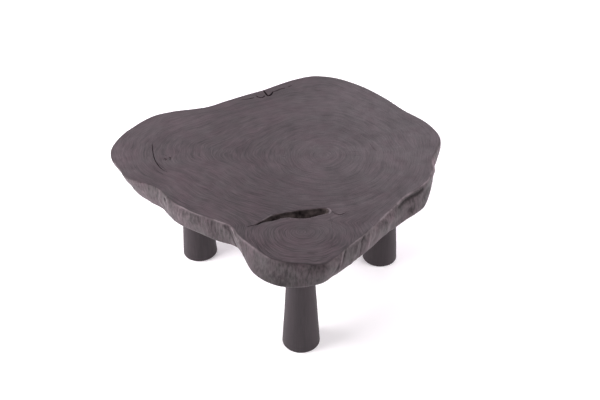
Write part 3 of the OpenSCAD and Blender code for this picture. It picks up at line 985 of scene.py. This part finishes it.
def lathe(name, place, profile, sides, material):
    """Turns a profile of (radius, height) pairs round an upright axis. It starts and ends on the axis."""
    shell = Shell()
    loops = []
    for radius, height in profile[1:-1]:
        plan = circle(place, radius, sides)
        loops.append(shell.add(np.column_stack([plan, np.full(sides, height)])))
    shell.bridge(loops)
    for end, loop, down in ((profile[0], loops[0], True), (profile[-1], loops[-1], False)):
        tip = shell.add([(*place, end[1])])[0]
        for one, other in zip(loop, np.roll(loop, -1)):
            shell.faces.append([tip, other, one] if down else [tip, one, other])
            shell.slots.append(0)
    return shell.build(name, [material])


def leg_profile():
    """The leg from the middle of its foot up and round into the bolt's hole."""
    flat = FOOT_RADIUS - FOOT_ROUND
    start = PAD_THICKNESS + FOOT_ROUND
    profile = [(0, PAD_THICKNESS), (flat / 2, PAD_THICKNESS)]
    for a in np.radians(np.linspace(0, 90, FOOT_ROUND_ROWS)):
        profile.append((flat + FOOT_ROUND * math.sin(a), start - FOOT_ROUND * math.cos(a)))
    for s in np.linspace(LEG_FIRST_ROW, 1, LEG_ROWS):
        profile.append((FOOT_RADIUS + (LEG_TOP_RADIUS - FOOT_RADIUS) * s, start + (UNDERSIDE - start) * s))
    return profile + [(BOLT_HOLE[0], UNDERSIDE), BOLT_HOLE, BOLT_HOLE_CONE, (0, BOLT_HOLE_CONE[1])]


def pad_profile():
    edge = [(PAD_RADIUS - inset, height) for inset, height in PAD_EDGE]
    return [(0, 0), *edge, (0, PAD_THICKNESS)]


LEG_WOOD = leg_wood()
FELT = felt()
STEEL = steel()
for side, place in LEG_PLACES.items():
    leg = lathe(f"turned_leg_{side}", place, leg_profile(), LEG_SIDES, LEG_WOOD)
    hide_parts(f"leg_{side}")
    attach(leg, "root")
    pad = lathe(f"felt_disc_{side}", place, pad_profile(), PAD_SIDES, FELT)
    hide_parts(f"felt_pad_{side}")
    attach(pad, "root")
    for fitting in FITTINGS:
        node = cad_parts[f"{fitting}_{side}"]
        for slot in node.material_slots:
            slot.material = STEEL


# Floor, light and camera, in metres

FLOOR_HALF = 60.0
FLOOR_GLOW = (1, 0.95, 0.98, 1)

# The studio is dark towards this side: a direction's share of it from and to, and the strengths there
DARK_SIDE = (0, -0.8, 0.6)
DARK_SIDE_SPAN = (0.1, 0.7, 0.35, 0.0)
BACKDROP = 0.6
STUDIO_COLOUR = (1.0, 0.96, 0.995, 1)

WHITE_LIGHT = (1, 1, 1)
PURPLE_LIGHT = (1, 0.93, 1)
BEHIND_TARGET = (0, 0.1, 0.3)
SIDE_TARGET = (0, 0, 0.3)
# Lamps as name, place, target, size, power, colour, and whether reflections show them
LAMPS = [
    ("behind_right", (0.9, 2.5, 2.3), BEHIND_TARGET, 2.2, 40, PURPLE_LIGHT, True),
    ("behind_left", (-1.3, 2.5, 2.3), BEHIND_TARGET, 2.2, 31, PURPLE_LIGHT, True),
    ("left_side", (-2.5, -0.6, 1.3), SIDE_TARGET, 2.8, 180, WHITE_LIGHT, False),
    ("right_side", (3.2, -1.2, 1.5), SIDE_TARGET, 3.0, 150, WHITE_LIGHT, False),
]

CAMERA_PLACE = (0.06928, -2.27626, 1.9679)
CAMERA_PITCH = -37.37
CAMERA_ROLL = -0.46
CAMERA_LENS = 55.15
SENSOR_WIDTH = 36


def make_floor():
    mesh = bpy.data.meshes.new("floor")
    corners = [(-1, -1), (1, -1), (1, 1), (-1, 1)]
    mesh.from_pydata([(x * FLOOR_HALF, y * FLOOR_HALF, 0) for x, y in corners], [], [(0, 1, 2, 3)])
    floor = bpy.data.objects.new("floor", mesh)
    bpy.context.scene.collection.objects.link(floor)
    t = Tree("pale_floor")
    colour = t.mix(t.spread(t.noise(scale=1.3)), FLOOR_DARK, FLOOR_LIGHT)
    mesh.materials.append(t.finish(
        colour, roughness=0.8, Specular_IOR_Level=0.2, Emission_Color=FLOOR_GLOW, Emission_Strength=0.3))


def make_world():
    """A white studio whose light is dark on one side, with a pale backdrop all round."""
    world = bpy.data.worlds.new("studio")
    bpy.context.scene.world = world
    world.use_nodes = True
    nodes, links = world.node_tree.nodes, world.node_tree.links
    towards = nodes.new("ShaderNodeVectorMath")
    towards.operation = "DOT_PRODUCT"
    links.new(nodes.new("ShaderNodeTexCoord").outputs["Generated"], towards.inputs[0])
    towards.inputs[1].default_value = DARK_SIDE
    strength = nodes.new("ShaderNodeMapRange")
    strength.interpolation_type = "SMOOTHSTEP"
    links.new(towards.outputs["Value"], strength.inputs[0])
    for k, value in enumerate(DARK_SIDE_SPAN, 1):
        strength.inputs[k].default_value = value
    seen = nodes.new("ShaderNodeMix")
    links.new(nodes.new("ShaderNodeLightPath").outputs["Is Camera Ray"], seen.inputs["Factor"])
    links.new(strength.outputs[0], seen.inputs["A"])
    seen.inputs["B"].default_value = BACKDROP
    background = nodes["Background"]
    background.inputs["Color"].default_value = STUDIO_COLOUR
    links.new(seen.outputs[0], background.inputs["Strength"])


def make_lamp(name, place, target, size, power, colour, glossy):
    data = bpy.data.lights.new(name, "AREA")
    data.shape = "DISK"
    data.size = size
    data.energy = power
    data.color = colour
    lamp = bpy.data.objects.new(name, data)
    lamp.visible_glossy = glossy
    lamp.location = place
    lamp.rotation_euler = (Vector(target) - Vector(place)).to_track_quat("-Z", "Y").to_euler()
    bpy.context.scene.collection.objects.link(lamp)


def make_camera():
    data = bpy.data.cameras.new("camera")
    data.lens = CAMERA_LENS
    data.sensor_width = SENSOR_WIDTH
    camera = bpy.data.objects.new("camera", data)
    pitch = Matrix.Rotation(math.radians(90 + CAMERA_PITCH), 4, "X")
    roll = Matrix.Rotation(math.radians(CAMERA_ROLL), 4, "Z")
    camera.matrix_world = Matrix.Translation(CAMERA_PLACE) @ pitch @ roll
    bpy.context.scene.collection.objects.link(camera)
    bpy.context.scene.camera = camera


make_floor()
make_world()
for lamp in LAMPS:
    make_lamp(*lamp)
make_camera()
bpy.context.scene.view_settings.view_transform = "Standard"
